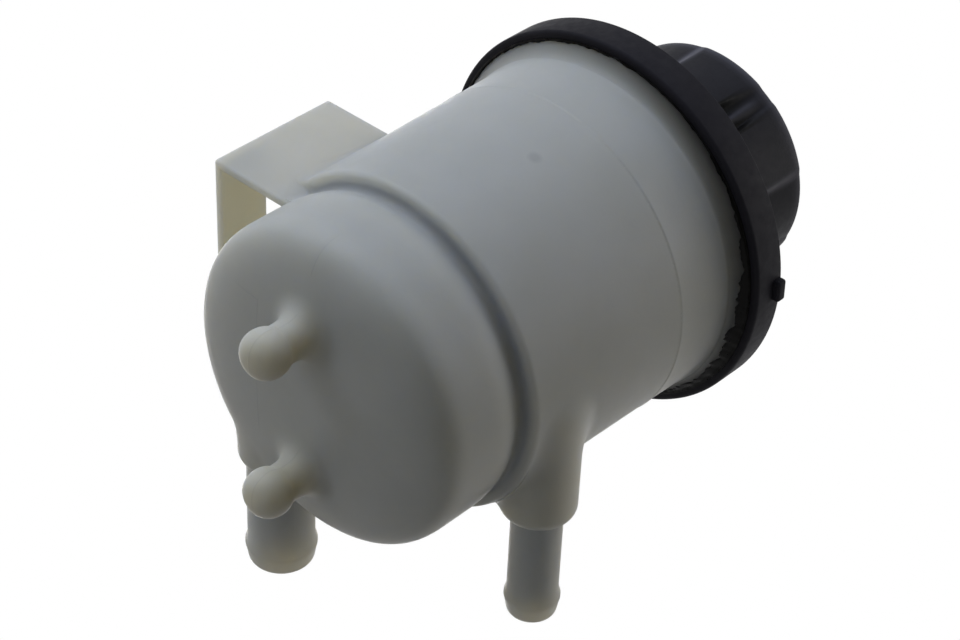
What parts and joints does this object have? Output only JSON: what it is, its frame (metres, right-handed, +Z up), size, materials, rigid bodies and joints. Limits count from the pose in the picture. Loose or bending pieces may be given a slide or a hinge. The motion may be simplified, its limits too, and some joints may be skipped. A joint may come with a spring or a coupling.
{
  "type": "power steering reservoir",
  "caption": "Round translucent fluid bottle with hose nipples, a slide-on bracket, grommet pegs below, a filter inside and a welded cover under a screw cap.",
  "frame": {"origin": "middle of the bottle's rounded bottom face, between the two grommet pegs", "axes": "+Z up along the bottle's axis to the cap, +X along the hose nipples, +Y out through the slide-on bracket"},
  "size_m": [0.1182, 0.1051, 0.1602],
  "materials": {
    "bottle": "milky translucent moulded plastic with a soft sheen",
    "cover": "satin black moulded plastic",
    "cap": "satin black moulded plastic",
    "insert": "plain black moulded plastic",
    "seal": "smooth black rubber",
    "filter_frame": "plain off-white moulded plastic",
    "filter_screen": "fine woven plastic screen"
  },
  "bodies": {
    "reservoir": {"reservoir_bottle": "bottle", "top_cover": "cover", "filter_frame": "filter_frame", "filter_screen": "filter_screen"},
    "cap_lift": {"cap_seal": "seal"},
    "cap": {"cap_shell": "cap", "cap_insert": "insert"}
  },
  "joints": [
    {"name": "cap_rise", "type": "slide", "parent": "reservoir", "child": "cap_lift", "axis": [0, 0, 1], "range_m": [0, 0.0082]},
    {"name": "cap_turn", "type": "hinge", "parent": "cap_lift", "child": "cap", "pos_m": [0, 0, 0.1446], "axis": [0, 0, 1], "range_deg": [0, 720]}
  ],
  "couplings": [
    {"joint": "cap_rise", "follows": "cap_turn", "m_per_rad": 0.00063662}
  ]
}
